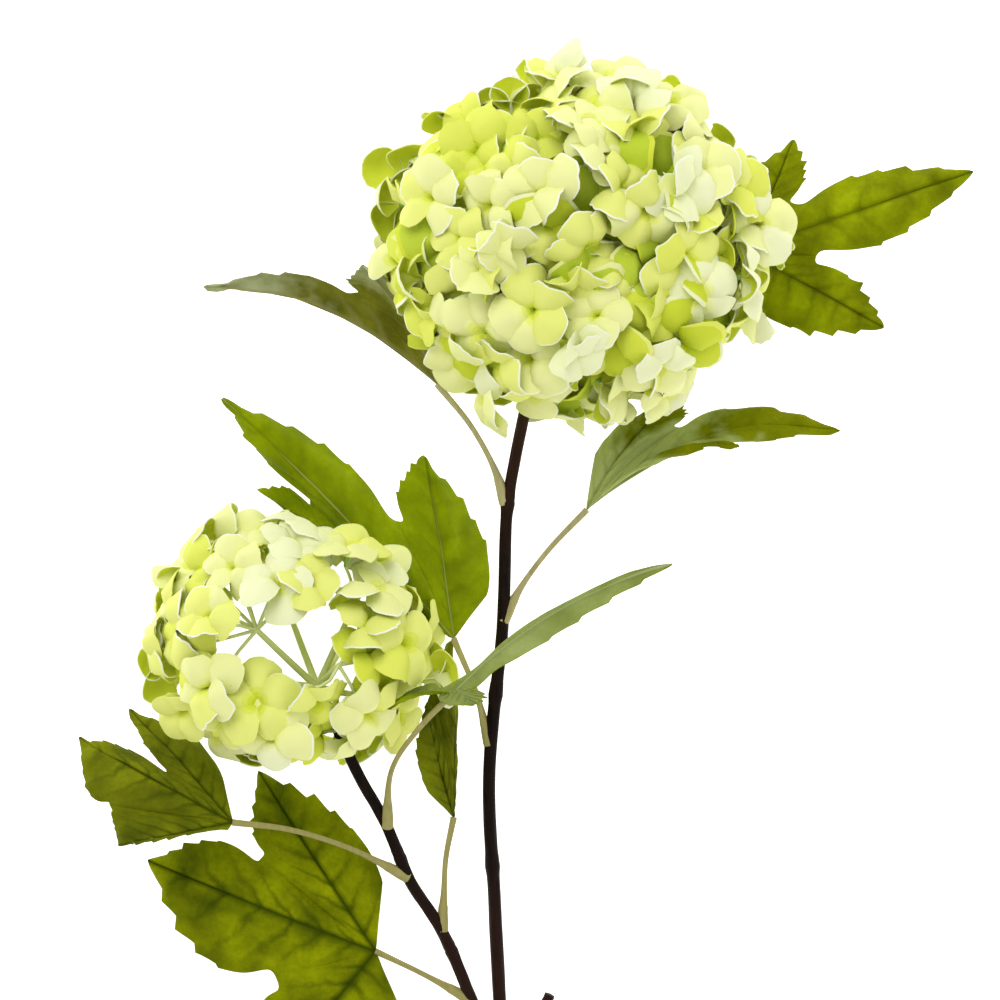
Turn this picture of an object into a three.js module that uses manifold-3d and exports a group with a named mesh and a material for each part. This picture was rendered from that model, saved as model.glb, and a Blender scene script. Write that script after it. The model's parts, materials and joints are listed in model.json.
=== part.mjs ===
// Artificial snowball viburnum spray, cut, lying on a level surface.
// Millimetres, +Z up. +Y runs along the stem towards the large flower head, and +X is to its right.
// The origin is under the middle of the spray, at the height it rests on.
import * as THREE from "three";
import { mergeVertices } from "three/addons/utils/BufferGeometryUtils.js";
import Module from "manifold-3d";

const wasm = await Module();
wasm.setup();

// Clearances and steps
const GAP = 0.3;
const KEEP_OFF = 0.6;
const WELD = 0.001;
const SHORTEST_EDGE = 0.02;
const LIMB_SIDES = 10;
const PETIOLE_SIDES = 7;
const STEP_LENGTH = 7;

// Stems: radii at the cut end and at the tip, and the swelling at each old leaf joint
const MAIN_STEM = { foot: 1.75, tip: 1.45, swell: 0.35, swellReach: 2.2, joints: [0.13, 0.4, 0.62, 0.86] };
const SIDE_STEM = { foot: 1.55, tip: 1.4, swell: 0.25, swellReach: 2, joints: [0.35, 0.62] };
const STUB = { radius: 1.5, bluntEnd: 0.6 };
const PETIOLE = { sheath: 1.25, sheathReach: 5, middle: 0.55, tip: 0.7 };

// Stem routes, from the foot to the tip
const MAIN_ROUTE = [
  [-4.5, -144.5, 1.65],
  [-5.5, -119.5, 6.6],
  [-7.5, -75.5, 15.3],
  [-9, -42.5, 21.8],
  [-5.5, -2.5, 29.7],
  [-4.5, 25, 35.4],
  [-2.5, 38, 37.8],
  [-0.5, 48, 39.6],
  [1, 55, 41],
];
const SIDE_ROUTE = [
  [-5.5, -119.5, 6.6],
  [-13.5, -99.5, 12.5],
  [-21, -81.5, 17.8],
  [-29, -68.5, 22],
  [-35, -54, 26],
  [-42.5, -40, 30.5],
  [-48, -27.5, 34.5],
];
const STUB_ROUTE = [
  [-5, -124, 5.7],
  [0.5, -111.5, 6.5],
  [6.5, -98.5, 8],
];

// Leaf blade: three toothed lobes that spread from the foot of the blade
const BLADE = {
  thickness: 0.8,
  lobeAngle: 1,
  sideLength: 0.74,
  notch: 0.4,
  earAngle: 1.1,
  ear: 0.26,
  bulge: { centre: 0.11, inner: 0.05 },
  tooth: 0.045,
  innerSteps: 2,
  edgeSteps: 5,
  acrossSteps: 2,
};

// Leaves: the petiole's route from its stem, and the tips that the three lobes reach from its end
const LEAVES = [
  {
    name: "upper_right",
    stem: "main",
    petiole: [[-0.5, 49, 39.8], [5, 49, 31], [14, 53, 16], [30, 68, 6], [46, 83, 7], [55.5, 91.5, 12]],
    tips: { left: [69, 119.5, 6], centre: [113.5, 111, 22], right: [90, 72, 24] },
    arch: [0, 0, 5],
    outer: 0.12,
  },
  {
    name: "upper_left",
    stem: "main",
    petiole: [[-4.8, 27, 35.8], [-7.5, 35.5, 37], [-13.5, 46.5, 38.5], [-22, 57, 40]],
    tips: { left: [-44.5, 78.5, 49], centre: [-81, 81, 28], right: [-74.5, 73, 10] },
    arch: [1, 7, 2],
    outer: 0.1,
  },
  {
    name: "mid_right",
    stem: "main",
    petiole: [[-5.5, -2.5, 29.7], [-1, 6, 31], [6, 15.5, 33], [15.5, 25.5, 35]],
    tips: { left: [40, 46, 22], centre: [79.5, 45.5, 28], right: [54, 37.5, 38] },
    arch: [-1, 6, 3],
    outer: 0.1,
  },
  {
    name: "mid_left",
    stem: "main",
    petiole: [[-8.8, -34, 23.5], [-10.5, -27, 24.2], [-12.5, -20, 24.8], [-18, -7, 25]],
    tips: { left: [-67, 30, 18], centre: [-76, 53.5, 34], right: [-25.5, 38, 8] },
    arch: [0, 2, 3],
    outer: 0.12,
  },
  {
    name: "front_narrow",
    stem: "side",
    petiole: [[-34.8, -54.5, 26], [-33.5, -40, 34], [-26.5, -29, 44], [-18, -20, 51]],
    tips: { left: [-9.5, -20.5, 66], centre: [36, 12.5, 52], right: [-24, -19, 35] },
    arch: [-2, 4, 0],
    outer: 0.1,
  },
  {
    name: "hanging",
    stem: "side",
    petiole: [[-21, -81.5, 17.8], [-20.5, -72, 19], [-20, -63, 20], [-18, -52.5, 20]],
    tips: { left: [-26.5, -30, 25], centre: [-19.5, -7.5, 20], right: [-15, -29, 9] },
    arch: [0, 0, 2],
    outer: 0.1,
  },
  {
    name: "lower_left",
    stem: "side",
    petiole: [[-29.5, -67.5, 22.3], [-44, -60, 27], [-59, -55, 31], [-73.5, -53, 33]],
    tips: { left: [-101.5, -65, 38], centre: [-112.5, -32, 26], right: [-100.5, -24.5, 12] },
    arch: [0, 0, 4],
    outer: 0.03,
  },
  {
    name: "bottom_left",
    stem: "side",
    petiole: [[-13.5, -99.5, 12.5], [-26.5, -92.5, 13], [-38, -87, 13]],
    tips: { left: [-67, -122.5, 8], centre: [-96, -64, 10], right: [-68, -41, 8] },
    arch: [0, 0, 5],
    outer: 0.12,
  },
];

// Flower heads: half-sizes of the head, and the florets that stand all over it
const LARGE_HEAD = {
  seed: 29,
  centre: [14.5, 92, 48.3],
  halfSize: [53, 45.5, 47],
  sink: 0.06,
  florets: 72,
  steepest: 1,
  floretRadius: 11.8,
  foot: [14.5, 92, 48.3],
  footSpread: 9,
  coreSize: [37, 32, 33],
  coreDetail: 2,
  stalkRadius: 1.3,
  stalkLength: 22,
  peduncle: [[1, 55, 41], [4.5, 66, 43.5], [9, 78, 46]],
  peduncleRadius: 1.45,
};
const SMALL_HEAD = {
  seed: 11,
  centre: [-58.5, -8, 32.63],
  halfSize: [37, 31, 34],
  sink: 0.12,
  florets: 40,
  steepest: 0.84,
  floretRadius: 10.5,
  foot: [-52, -19, 36],
  footSpread: 1.5,
  coreSize: [4.5, 4.5, 4.5],
  coreDetail: 1,
  stalkRadius: 0.8,
  stalkLength: 60,
  peduncle: [[-48, -27.5, 34.5], [-50, -23, 35.2], [-52, -19, 36]],
  peduncleRadius: 1.5,
};
const FLORET = { sides: 15, cup: 3, thickness: 1.6, notch: 0.62, stalkSides: 3 };

// Colours and finishes
const DARK_STEM = { color: 0x2b211b, roughness: 0.5 };
const CREAM_PETIOLE = { color: 0xb9ad84, roughness: 0.6 };
const LEAF_GREEN = { color: 0x5c7f45, roughness: 0.7, side: THREE.DoubleSide };
const LIME_PETALS = { color: 0xcfd98a, roughness: 0.8 };

const vector = (point) => new THREE.Vector3(...point);
const curve = (points) => new THREE.CatmullRomCurve3(points.map(vector), false, "centripetal");

// Random numbers from 0 to 1 that are the same on every run
function seeded(seed) {
  let state = seed;
  return () => {
    state = (state + 0x6d2b79f5) | 0;
    let value = Math.imul(state ^ (state >>> 15), 1 | state);
    value = (value + Math.imul(value ^ (value >>> 7), 61 | value)) ^ value;
    return ((value ^ (value >>> 14)) >>> 0) / 2 ** 32;
  };
}

// Shared corners are merged, and faces that this leaves with no area are dropped
function welded(geometry) {
  geometry.deleteAttribute("normal");
  geometry.deleteAttribute("uv");
  const merged = mergeVertices(geometry, WELD);
  const corners = Array.from(merged.index.array);
  const kept = [];
  for (let i = 0; i < corners.length; i += 3) {
    const [a, b, c] = corners.slice(i, i + 3);
    if (a !== b && b !== c && c !== a) kept.push(a, b, c);
  }
  merged.setIndex(kept);
  return merged;
}

function solid(geometry) {
  const merged = welded(geometry);
  const vertProperties = new Float32Array(merged.attributes.position.array);
  const triVerts = new Uint32Array(merged.index.array);
  return new wasm.Manifold(new wasm.Mesh({ numProp: 3, vertProperties, triVerts }));
}

const united = (solids) => solids.reduce((all, each) => all.add(each));

// The largest body of a solid, as a geometry, without the slivers that joining leaves
function geometryOf(manifold) {
  const bodies = manifold.decompose().sort((a, b) => b.volume() - a.volume());
  const mesh = bodies[0].simplify(SHORTEST_EDGE).getMesh();
  const geometry = new THREE.BufferGeometry();
  geometry.setAttribute("position", new THREE.BufferAttribute(new Float32Array(mesh.vertProperties), 3));
  geometry.setIndex(Array.from(mesh.triVerts));
  return geometry;
}

// A lathe-turned limb bent along its route, where radiusAt gives its radius at each part of its length.
// Grown by a clearance, it is that much wider all round and that much longer at both ends.
function limb(route, radiusAt, sides, grow = 0) {
  const path = curve(route);
  const length = path.getLength();
  const steps = Math.max(4, Math.ceil(length / STEP_LENGTH));
  const frames = path.computeFrenetFrames(steps);
  const profile = [new THREE.Vector2(0, 0)];
  for (let i = 0; i <= steps; i += 1) {
    profile.push(new THREE.Vector2(radiusAt(i / steps, length) + grow, i));
  }
  profile.push(new THREE.Vector2(0, steps));
  const geometry = new THREE.LatheGeometry(profile, sides);
  const place = geometry.attributes.position;
  for (let i = 0; i < place.count; i += 1) {
    const step = Math.round(place.getY(i));
    const atEnd = Number(step === steps) - Number(step === 0);
    const point = path.getPointAt(step / steps);
    point.addScaledVector(frames.tangents[step], atEnd * grow);
    point.addScaledVector(frames.binormals[step], place.getX(i));
    point.addScaledVector(frames.normals[step], place.getZ(i));
    place.setXYZ(i, point.x, point.y, point.z);
  }
  return solid(geometry);
}

const bell = (x) => Math.exp(-x * x);

// A woody stem's radius, with a low swelling at each old leaf joint
function stemRadius(stem) {
  return (t, length) => {
    const taper = THREE.MathUtils.lerp(stem.foot, stem.tip, t);
    const swellings = stem.joints.map((joint) => bell(((t - joint) * length) / stem.swellReach));
    return taper + stem.swell * Math.max(...swellings);
  };
}

// The stub of a second side stem, drawn in to a blunt end
const stubRadius = (t) => STUB.radius * (t < 1 ? 1 : STUB.bluntEnd);

// A petiole's radius: a swollen sheath at the stem, and a slim stalk out to the blade
function petioleRadius(t, length) {
  const sheath = (PETIOLE.sheath - PETIOLE.middle) * bell((t * length) / PETIOLE.sheathReach);
  const flare = (PETIOLE.tip - PETIOLE.middle) * t ** 4;
  return PETIOLE.middle + sheath + flare;
}

// One half of a lobe, laid flat, from its rib out to its toothed edge.
// The foot of the blade is at the origin, and corner is where the edge leaves its neighbour.
function halfLobe(tip, corner, outward, bulge) {
  const steps = BLADE.innerSteps + BLADE.edgeSteps;
  const cornerAt = BLADE.innerSteps / steps;
  const edgeAt = (u) => {
    if (u <= cornerAt) return corner.clone().multiplyScalar(u / cornerAt);
    const along = (u - cornerAt) / (1 - cornerAt);
    const isTooth = along < 1 && Math.round(along * BLADE.edgeSteps) % 2 === 0;
    const out = bulge * Math.sin(Math.PI * along) + (isTooth ? BLADE.tooth : 0);
    return corner.clone().lerp(tip, along).addScaledVector(outward, out);
  };
  const rows = [];
  for (let i = 0; i <= steps; i += 1) {
    const rib = tip.clone().multiplyScalar(i / steps);
    const edge = edgeAt(i / steps);
    const row = [];
    for (let j = 0; j <= BLADE.acrossSteps; j += 1) {
      row.push(rib.clone().lerp(edge, j / BLADE.acrossSteps));
    }
    rows.push(row);
  }
  return rows;
}

const onFlat = (angle, length) => new THREE.Vector2(Math.sin(angle), Math.cos(angle)).multiplyScalar(length);

// All six half-lobes laid flat. The three to the left of their ribs are flipped to face the same way.
function flatLobes(outer) {
  const { lobeAngle, sideLength, notch, earAngle, ear, bulge } = BLADE;
  const halves = [];
  for (const side of [-1, 1]) {
    const sideTip = onFlat(side * lobeAngle, sideLength);
    const centreTip = onFlat(0, 1);
    const notchPoint = onFlat((side * lobeAngle) / 2, notch);
    const earPoint = onFlat(side * (lobeAngle + earAngle), ear);
    const acrossCentre = onFlat((side * Math.PI) / 2, 1);
    const acrossSide = onFlat(side * (lobeAngle + Math.PI / 2), 1);
    const acrossInner = acrossSide.clone().negate();
    halves.push({ rows: halfLobe(centreTip, notchPoint, acrossCentre, bulge.centre), flip: side < 0 });
    halves.push({ rows: halfLobe(sideTip, notchPoint, acrossInner, bulge.inner), flip: side > 0 });
    halves.push({ rows: halfLobe(sideTip, earPoint, acrossSide, outer), flip: side < 0 });
  }
  return halves;
}

// Spreads the flat blade from its foot so that its three ribs end at the leaf's tips
function spread(leaf) {
  const foot = vector(leaf.petiole.at(-1));
  const reach = {};
  for (const lobe of ["left", "centre", "right"]) {
    reach[lobe] = vector(leaf.tips[lobe]).sub(foot);
  }
  return (flat) => {
    const angle = Math.atan2(flat.x, flat.y);
    const length = flat.length();
    const side = angle < 0 ? reach.left : reach.right;
    const share = Math.abs(angle) / BLADE.lobeAngle;
    const axis = reach.centre.clone().cross(side).normalize();
    const spreadAngle = reach.centre.angleTo(side);
    const past = Math.max(0, share - 1) * Math.min(spreadAngle, BLADE.lobeAngle);
    const turn = spreadAngle * Math.min(share, 1) + past;
    const sideReach = side.length() / BLADE.sideLength;
    const full = THREE.MathUtils.lerp(reach.centre.length(), sideReach, Math.min(share, 1));
    const point = reach.centre.clone().normalize().applyAxisAngle(axis, turn);
    point.multiplyScalar(full * length).add(foot);
    return point.addScaledVector(vector(leaf.arch), 4 * length * Math.max(0, 1 - length));
  };
}

// The middle surface of a blade, as faces that share their corners
function bladeSurface(leaf) {
  const place = spread(leaf);
  const corners = [];
  for (const { rows, flip } of flatLobes(leaf.outer)) {
    const placed = rows.map((row) => row.map(place));
    for (let i = 1; i < placed.length; i += 1) {
      for (let j = 1; j < placed[i].length; j += 1) {
        const [a, b, c, d] = [placed[i - 1][j - 1], placed[i - 1][j], placed[i][j], placed[i][j - 1]];
        const quad = flip ? [a, c, b, a, d, c] : [a, b, c, a, c, d];
        corners.push(...quad);
      }
    }
  }
  return welded(new THREE.BufferGeometry().setFromPoints(corners).setIndex(corners.map((_, i) => i)));
}

// A surface given its thickness: each face becomes a slab between its corners moved out to either side,
// and the slabs are joined. A slab's side is split from its lower-numbered corner, so neighbours fit.
function thickened(surface, thickness) {
  surface.computeVertexNormals();
  const { position, normal } = surface.attributes;
  const moved = (corner, distance) => {
    const offset = new THREE.Vector3().fromBufferAttribute(normal, corner).multiplyScalar(distance);
    return offset.add(new THREE.Vector3().fromBufferAttribute(position, corner));
  };
  const slabs = [];
  for (let i = 0; i < surface.index.count; i += 3) {
    const face = Array.from(surface.index.array.slice(i, i + 3));
    const points = [thickness / 2, -thickness / 2].flatMap((half) => face.map((c) => moved(c, half)));
    const index = [0, 1, 2, 3, 5, 4];
    for (const [from, to] of [[0, 1], [1, 2], [2, 0]]) {
      const [below, beside] = [from + 3, to + 3];
      const splitAtFrom = [from, below, beside, from, beside, to];
      const splitAtTo = [from, below, to, below, beside, to];
      index.push(...(face[from] < face[to] ? splitAtFrom : splitAtTo));
    }
    slabs.push(solid(new THREE.BufferGeometry().setFromPoints(points).setIndex(index)));
  }
  return united(slabs);
}

// A floret's cupped disc of five petals, opening along +Z, with a stalk below it that ends at depth
function floret(radius, depth, stalkRadius) {
  const profile = [[0, -FLORET.thickness], [radius, FLORET.cup], [0, 0]];
  const disc = new THREE.LatheGeometry(profile.map(([x, y]) => new THREE.Vector2(x, y)), FLORET.sides);
  disc.rotateX(Math.PI / 2);
  const place = disc.attributes.position;
  for (let i = 0; i < place.count; i += 1) {
    const turn = Math.atan2(place.getY(i), place.getX(i));
    const isNotch = Math.round((turn / (2 * Math.PI)) * FLORET.sides + FLORET.sides) % 3 === 0;
    const scale = isNotch ? FLORET.notch : 1;
    place.setXYZ(i, place.getX(i) * scale, place.getY(i) * scale, place.getZ(i));
  }
  const length = depth - FLORET.thickness / 2;
  const stalk = new THREE.CylinderGeometry(stalkRadius, stalkRadius, length, FLORET.stalkSides);
  stalk.rotateX(Math.PI / 2);
  stalk.translate(0, 0, -depth + length / 2);
  return solid(disc).add(solid(stalk));
}

// Even directions all round, by the golden angle
function spiralDirection(i, count) {
  const z = 1 - (2 * i + 1) / count;
  const ring = Math.sqrt(1 - z * z);
  const turn = i * Math.PI * (3 - Math.sqrt(5));
  return new THREE.Vector3(ring * Math.cos(turn), ring * Math.sin(turn), z);
}

// Where each floret sits: its middle, the foot of its stalk inside the head, and its turn about the stalk.
// Directions steeper than the head allows stay bare, which leaves it open from above and below.
function floretPlaces(head) {
  const random = seeded(head.seed);
  const jitter = () => (random() * 2 - 1) * head.footSpread;
  const half = vector(head.halfSize).subScalar(FLORET.cup);
  const places = [];
  for (let i = 0; i < head.florets; i += 1) {
    const direction = spiralDirection(i, head.florets);
    if (Math.abs(direction.z) > head.steepest) continue;
    const middle = direction.multiply(half);
    middle.multiplyScalar(1 - head.sink * random()).add(vector(head.centre));
    const foot = vector(head.foot).add(new THREE.Vector3(jitter(), jitter(), jitter()));
    places.push({ middle, foot, spin: random() * 2 * Math.PI });
  }
  return places;
}

// A flower head: a core on its own short stalk, and florets all over it.
// A floret that would touch what is kept off is skipped.
function flowerHead(head, keepOff) {
  const core = new THREE.IcosahedronGeometry(1, head.coreDetail);
  core.scale(...head.coreSize).translate(...head.foot);
  const peduncle = limb(head.peduncle, () => head.peduncleRadius, PETIOLE_SIDES);
  let grown = solid(core).add(peduncle).subtract(keepOff);
  const up = new THREE.Vector3(0, 0, 1);
  for (const { middle, foot, spin } of floretPlaces(head)) {
    const stalk = middle.clone().sub(foot);
    const towards = new THREE.Quaternion().setFromUnitVectors(up, stalk.clone().normalize());
    const spun = new THREE.Quaternion().setFromAxisAngle(up, spin);
    const matrix = new THREE.Matrix4().compose(middle, towards.multiply(spun), new THREE.Vector3(1, 1, 1));
    const depth = Math.min(stalk.length(), head.stalkLength);
    const flower = floret(head.floretRadius, depth, head.stalkRadius).transform(matrix.elements);
    if (flower.intersect(keepOff).isEmpty()) grown = grown.add(flower);
  }
  return grown;
}

function named(name, manifold, finish) {
  const mesh = new THREE.Mesh(geometryOf(manifold), new THREE.MeshStandardMaterial(finish));
  mesh.name = name;
  return mesh;
}

// The three stems, each cut clear of the one it springs from, and the space that the first two keep
function makeStems() {
  const make = {
    main: (grow) => limb(MAIN_ROUTE, stemRadius(MAIN_STEM), LIMB_SIDES, grow),
    side: (grow) => limb(SIDE_ROUTE, stemRadius(SIDE_STEM), LIMB_SIDES, grow),
  };
  const wide = { main: make.main(GAP), side: make.side(GAP) };
  const stub = limb(STUB_ROUTE, stubRadius, LIMB_SIDES).subtract(wide.main).subtract(wide.side);
  return { main: make.main(0), side: make.side(0).subtract(wide.main), stub, wide };
}

function buildSpray() {
  const spray = new THREE.Group();
  const stems = makeStems();
  spray.add(named("main_stem", stems.main, DARK_STEM));
  spray.add(named("side_stem", stems.side, DARK_STEM));
  spray.add(named("stem_stub", stems.stub, DARK_STEM));
  const around = Object.values(stems.wide);
  for (const leaf of LEAVES) {
    const petiole = limb(leaf.petiole, petioleRadius, PETIOLE_SIDES).subtract(stems.wide[leaf.stem]);
    const widePetiole = limb(leaf.petiole, petioleRadius, PETIOLE_SIDES, GAP);
    const surface = bladeSurface(leaf);
    const blade = thickened(surface, BLADE.thickness).subtract(widePetiole);
    spray.add(named(`petiole_${leaf.name}`, petiole, CREAM_PETIOLE));
    spray.add(named(`leaf_${leaf.name}`, blade, LEAF_GREEN));
    around.push(widePetiole, thickened(surface, BLADE.thickness + 2 * KEEP_OFF));
  }
  const keepOff = united(around);
  spray.add(named("large_flower_head", flowerHead(LARGE_HEAD, keepOff), LIME_PETALS));
  spray.add(named("small_flower_head", flowerHead(SMALL_HEAD, keepOff), LIME_PETALS));
  return spray;
}

// Stands the spray on the level z = 0, with the origin under its middle
function atItsOrigin(spray) {
  const box = new THREE.Box3().setFromObject(spray);
  const middle = box.getCenter(new THREE.Vector3());
  spray.position.set(-middle.x, -middle.y, -box.min.z);
  return new THREE.Group().add(spray);
}

export default atItsOrigin(buildSpray());
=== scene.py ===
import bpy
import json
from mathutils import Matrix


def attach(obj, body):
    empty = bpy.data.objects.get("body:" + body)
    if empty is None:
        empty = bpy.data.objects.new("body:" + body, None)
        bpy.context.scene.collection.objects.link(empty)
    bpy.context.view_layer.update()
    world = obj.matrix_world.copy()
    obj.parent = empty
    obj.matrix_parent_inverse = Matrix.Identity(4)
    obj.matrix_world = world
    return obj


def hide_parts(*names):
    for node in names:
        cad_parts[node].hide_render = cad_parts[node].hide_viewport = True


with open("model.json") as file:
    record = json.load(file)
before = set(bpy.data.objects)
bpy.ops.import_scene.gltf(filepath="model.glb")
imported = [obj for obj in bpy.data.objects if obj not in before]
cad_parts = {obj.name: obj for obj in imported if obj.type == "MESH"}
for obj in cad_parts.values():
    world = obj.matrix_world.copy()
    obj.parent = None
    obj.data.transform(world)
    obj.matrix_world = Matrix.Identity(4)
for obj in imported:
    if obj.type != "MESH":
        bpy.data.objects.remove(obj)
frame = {"record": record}
"""The looks of an artificial snowball viburnum spray, lying down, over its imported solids.

Places and other sets of three sizes are in millimetres, in the spray's own frame, in which its solids
were drawn, and SPRAY_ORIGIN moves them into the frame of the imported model. Other sizes are in metres.
A leaf laid flat has a blade of length 1, and the sizes of its outline are shares of that.
"""
import json
import logging
import math
from dataclasses import dataclass, field
from enum import Enum
from functools import cached_property
from typing import ClassVar

import bpy
import numpy as np
from mathutils import Vector
from mathutils.kdtree import KDTree

Array = np.ndarray
Span = tuple[float, float]
Place = tuple[float, float, float]
Colour = tuple[float, float, float]
Route = list[Place]
Piece = bpy.types.Object
Material = bpy.types.Material
Socket = bpy.types.NodeSocket
log = logging.getLogger("spray")

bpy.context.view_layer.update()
BODY = "root"
MM = 0.001
FULL_TURN = 2 * math.pi
GOLDEN_TURN = math.pi * (3 - math.sqrt(5))
VEIN_PRINT = "vein_print"
RIM_ANGLE = math.radians(60)
FULL_PIECE = 191_000    # triangles, after which the florets go on in another piece
NOISE_SPAN = (0.3, 0.7)    # where most of a noise's values lie
BAND_SPACING = 0.314    # of a wave texture of scale 1, in metres
DOME = 0.25    # the height of a limb's domed end, as a share of its radius

# Stem routes, from the foot to the tip, in millimetres
MAIN_ROUTE: Route = [
    (-4.5, -144.5, 1.65),
    (-5.5, -119.5, 6.6),
    (-7.5, -75.5, 15.3),
    (-9, -42.5, 21.8),
    (-5.5, -2.5, 29.7),
    (-4.5, 25, 35.4),
    (-2.5, 38, 37.8),
    (-0.5, 48, 39.6),
    (1, 55, 41),
]
SIDE_ROUTE: Route = [
    (-5.5, -119.5, 6.6),
    (-13.5, -99.5, 12.5),
    (-21, -81.5, 17.8),
    (-29, -68.5, 22),
    (-35, -54, 26),
    (-42.5, -40, 30.5),
    (-48, -27.5, 34.5),
]
STUB_ROUTE: Route = [
    (-5, -124, 5.7),
    (0.5, -111.5, 6.5),
    (6.5, -98.5, 8),
]

CUT_END = next(mount for mount in frame["record"]["mounts"] if mount["name"] == "cut_end")
SPRAY_ORIGIN = np.array(CUT_END["pos_m"]) - np.array(MAIN_ROUTE[0]) * MM
LOWEST = 0.0002 - SPRAY_ORIGIN[2]    # of any petal, just above the surface that the spray lies on


def metres(points: Place | Route) -> Array:
    """One point or many in millimetres, as an array in metres."""
    return np.array(points, float) * MM


def unit(vectors: Array) -> Array:
    """Vectors along the last axis, each scaled to a length of one."""
    return vectors / np.maximum(np.linalg.norm(vectors, axis=-1, keepdims=True), 1e-12)


def steps_along(path: Array) -> Array:
    """The length of each step of a path."""
    return np.linalg.norm(np.diff(path, axis=0), axis=1)


def angles_round(count: int) -> Array:
    """So many even angles, all round."""
    return np.arange(count) * FULL_TURN / count


class Dice:
    """Random numbers that are the same on every run, by the rule that placed the solids' florets."""

    def __init__(self, seed: int) -> None:
        """Starts the run of numbers at a seed."""
        self.state = seed

    def roll(self) -> float:
        """The next number from 0 to 1."""
        self.state = (self.state + 0x6D2B79F5) & 0xFFFFFFFF
        value = self._mixed(self.state ^ (self.state >> 15), 1 | self.state)
        value ^= (value + self._mixed(value ^ (value >> 7), 61 | value)) & 0xFFFFFFFF
        return ((value ^ (value >> 14)) & 0xFFFFFFFF) / 2**32

    def between(self, low: float, high: float) -> float:
        """The next number, spread from low to high."""
        return low + (high - low) * self.roll()

    def angle(self) -> float:
        """The next number, as an angle all round."""
        return self.between(0, FULL_TURN)

    def offsets(self, count: int) -> Array:
        """The next few numbers, from -1 to 1."""
        return np.array([self.between(-1, 1) for _ in range(count)])

    @staticmethod
    def _mixed(a: int, b: int) -> int:
        """The low 32 bits of a product."""
        return (a * b) & 0xFFFFFFFF


def smooth_path(points: Array, spacing: float) -> Array:
    """A centripetal spline through points, resampled at even steps.

    Args:
        points: the points to pass through, one in each row.
        spacing: the longest step along the path.

    Returns:
        Points along the path, one in each row.
    """
    padded = np.vstack([2 * points[0] - points[1], points, 2 * points[-1] - points[-2]])
    knots = np.concatenate([[0], np.cumsum(steps_along(padded) ** 0.5)])
    dense = []
    for i in range(1, len(padded) - 2):
        t = np.linspace(knots[i], knots[i + 1], 40, endpoint=i == len(padded) - 3)[:, None]
        near = [blend(padded[j], padded[j + 1], knots, t, j, j + 1) for j in (i - 1, i, i + 1)]
        wide = [blend(near[j], near[j + 1], knots, t, i - 1 + j, i + 1 + j) for j in (0, 1)]
        dense.append(blend(wide[0], wide[1], knots, t, i, i + 1))
    line = np.vstack(dense)
    travelled = np.concatenate([[0], np.cumsum(steps_along(line))])
    steps = max(4, math.ceil(travelled[-1] / spacing))
    even = np.linspace(0, travelled[-1], steps + 1)
    return np.stack([np.interp(even, travelled, line[:, axis]) for axis in range(3)], axis=1)


def blend(start: Array, end: Array, knots: Array, t: Array, i: int, j: int) -> Array:
    """A blend from start at knot i to end at knot j, at the parameters t."""
    return ((knots[j] - t) * start + (t - knots[i]) * end) / (knots[j] - knots[i])


def carried_frames(path: Array) -> tuple[Array, Array, Array]:
    """Tangents of a path, and two directions across it that turn as little as they can.

    Args:
        path: points along the path.

    Returns:
        The tangents and the two directions across, one of each for every point.
    """
    tangents = unit(np.gradient(path, axis=0))
    side = np.cross(tangents[0], [0.0, 0.0, 1.0])
    side = unit(side if np.linalg.norm(side) > 0.1 else np.array([1.0, 0.0, 0.0]))
    sides = []
    for tangent in tangents:
        side = unit(side - tangent * (side @ tangent))
        sides.append(side)
    sides = np.array(sides)
    return tangents, sides, np.cross(tangents, sides)


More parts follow.
